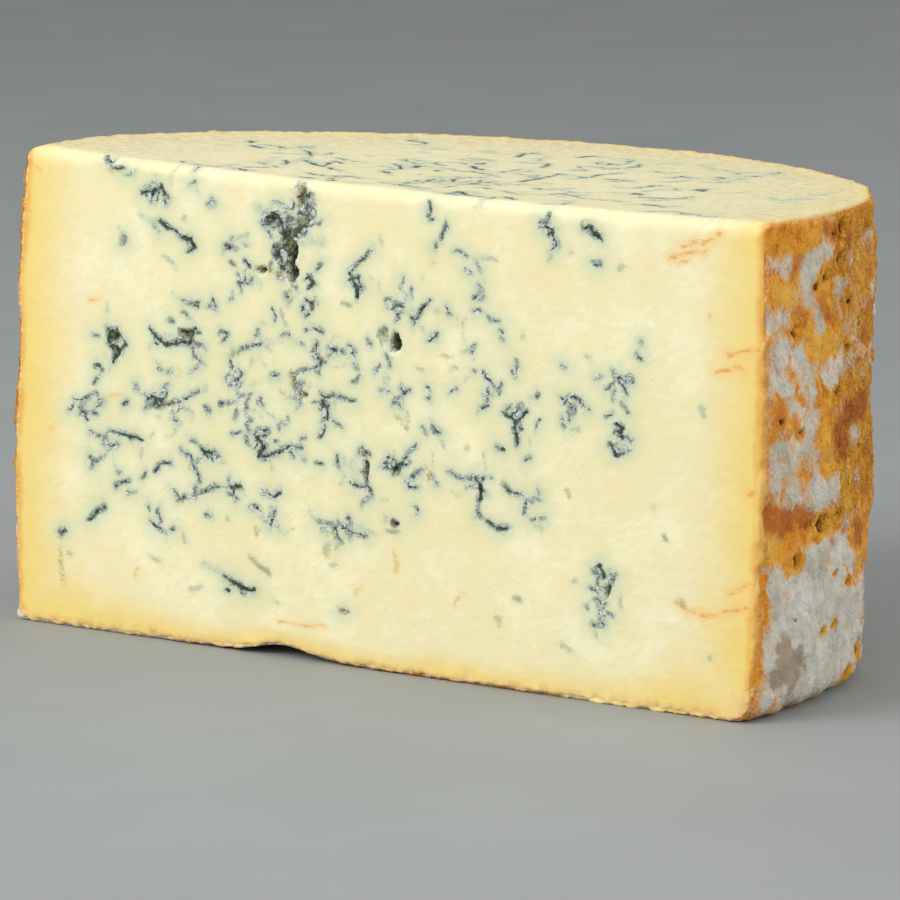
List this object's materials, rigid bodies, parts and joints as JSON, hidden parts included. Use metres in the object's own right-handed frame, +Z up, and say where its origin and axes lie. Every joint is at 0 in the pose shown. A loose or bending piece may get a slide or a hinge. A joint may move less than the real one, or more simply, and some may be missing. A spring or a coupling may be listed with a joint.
{
  "type": "blue cheese half round",
  "caption": "Half round of blue-veined cheese with an upright and a level cut face and a mottled, pitted rind, standing on its flat end.",
  "frame": {"origin": "centre of the object's box, on the flat underside it stands on", "axes": "+Z up; +X along the upright cut face, from its left end to its right end as one looks at it; the upright cut face looks along -Y and the curved rind bulges towards +Y"},
  "size_m": [0.2046, 0.1114, 0.1079],
  "materials": {
    "paste": "satin, faintly moist, with dark blue-green veins; the rind is dry, ochre-brown with grey-white mould"
  },
  "bodies": {
    "root": {"cheese": "paste"}
  },
  "joints": []
}
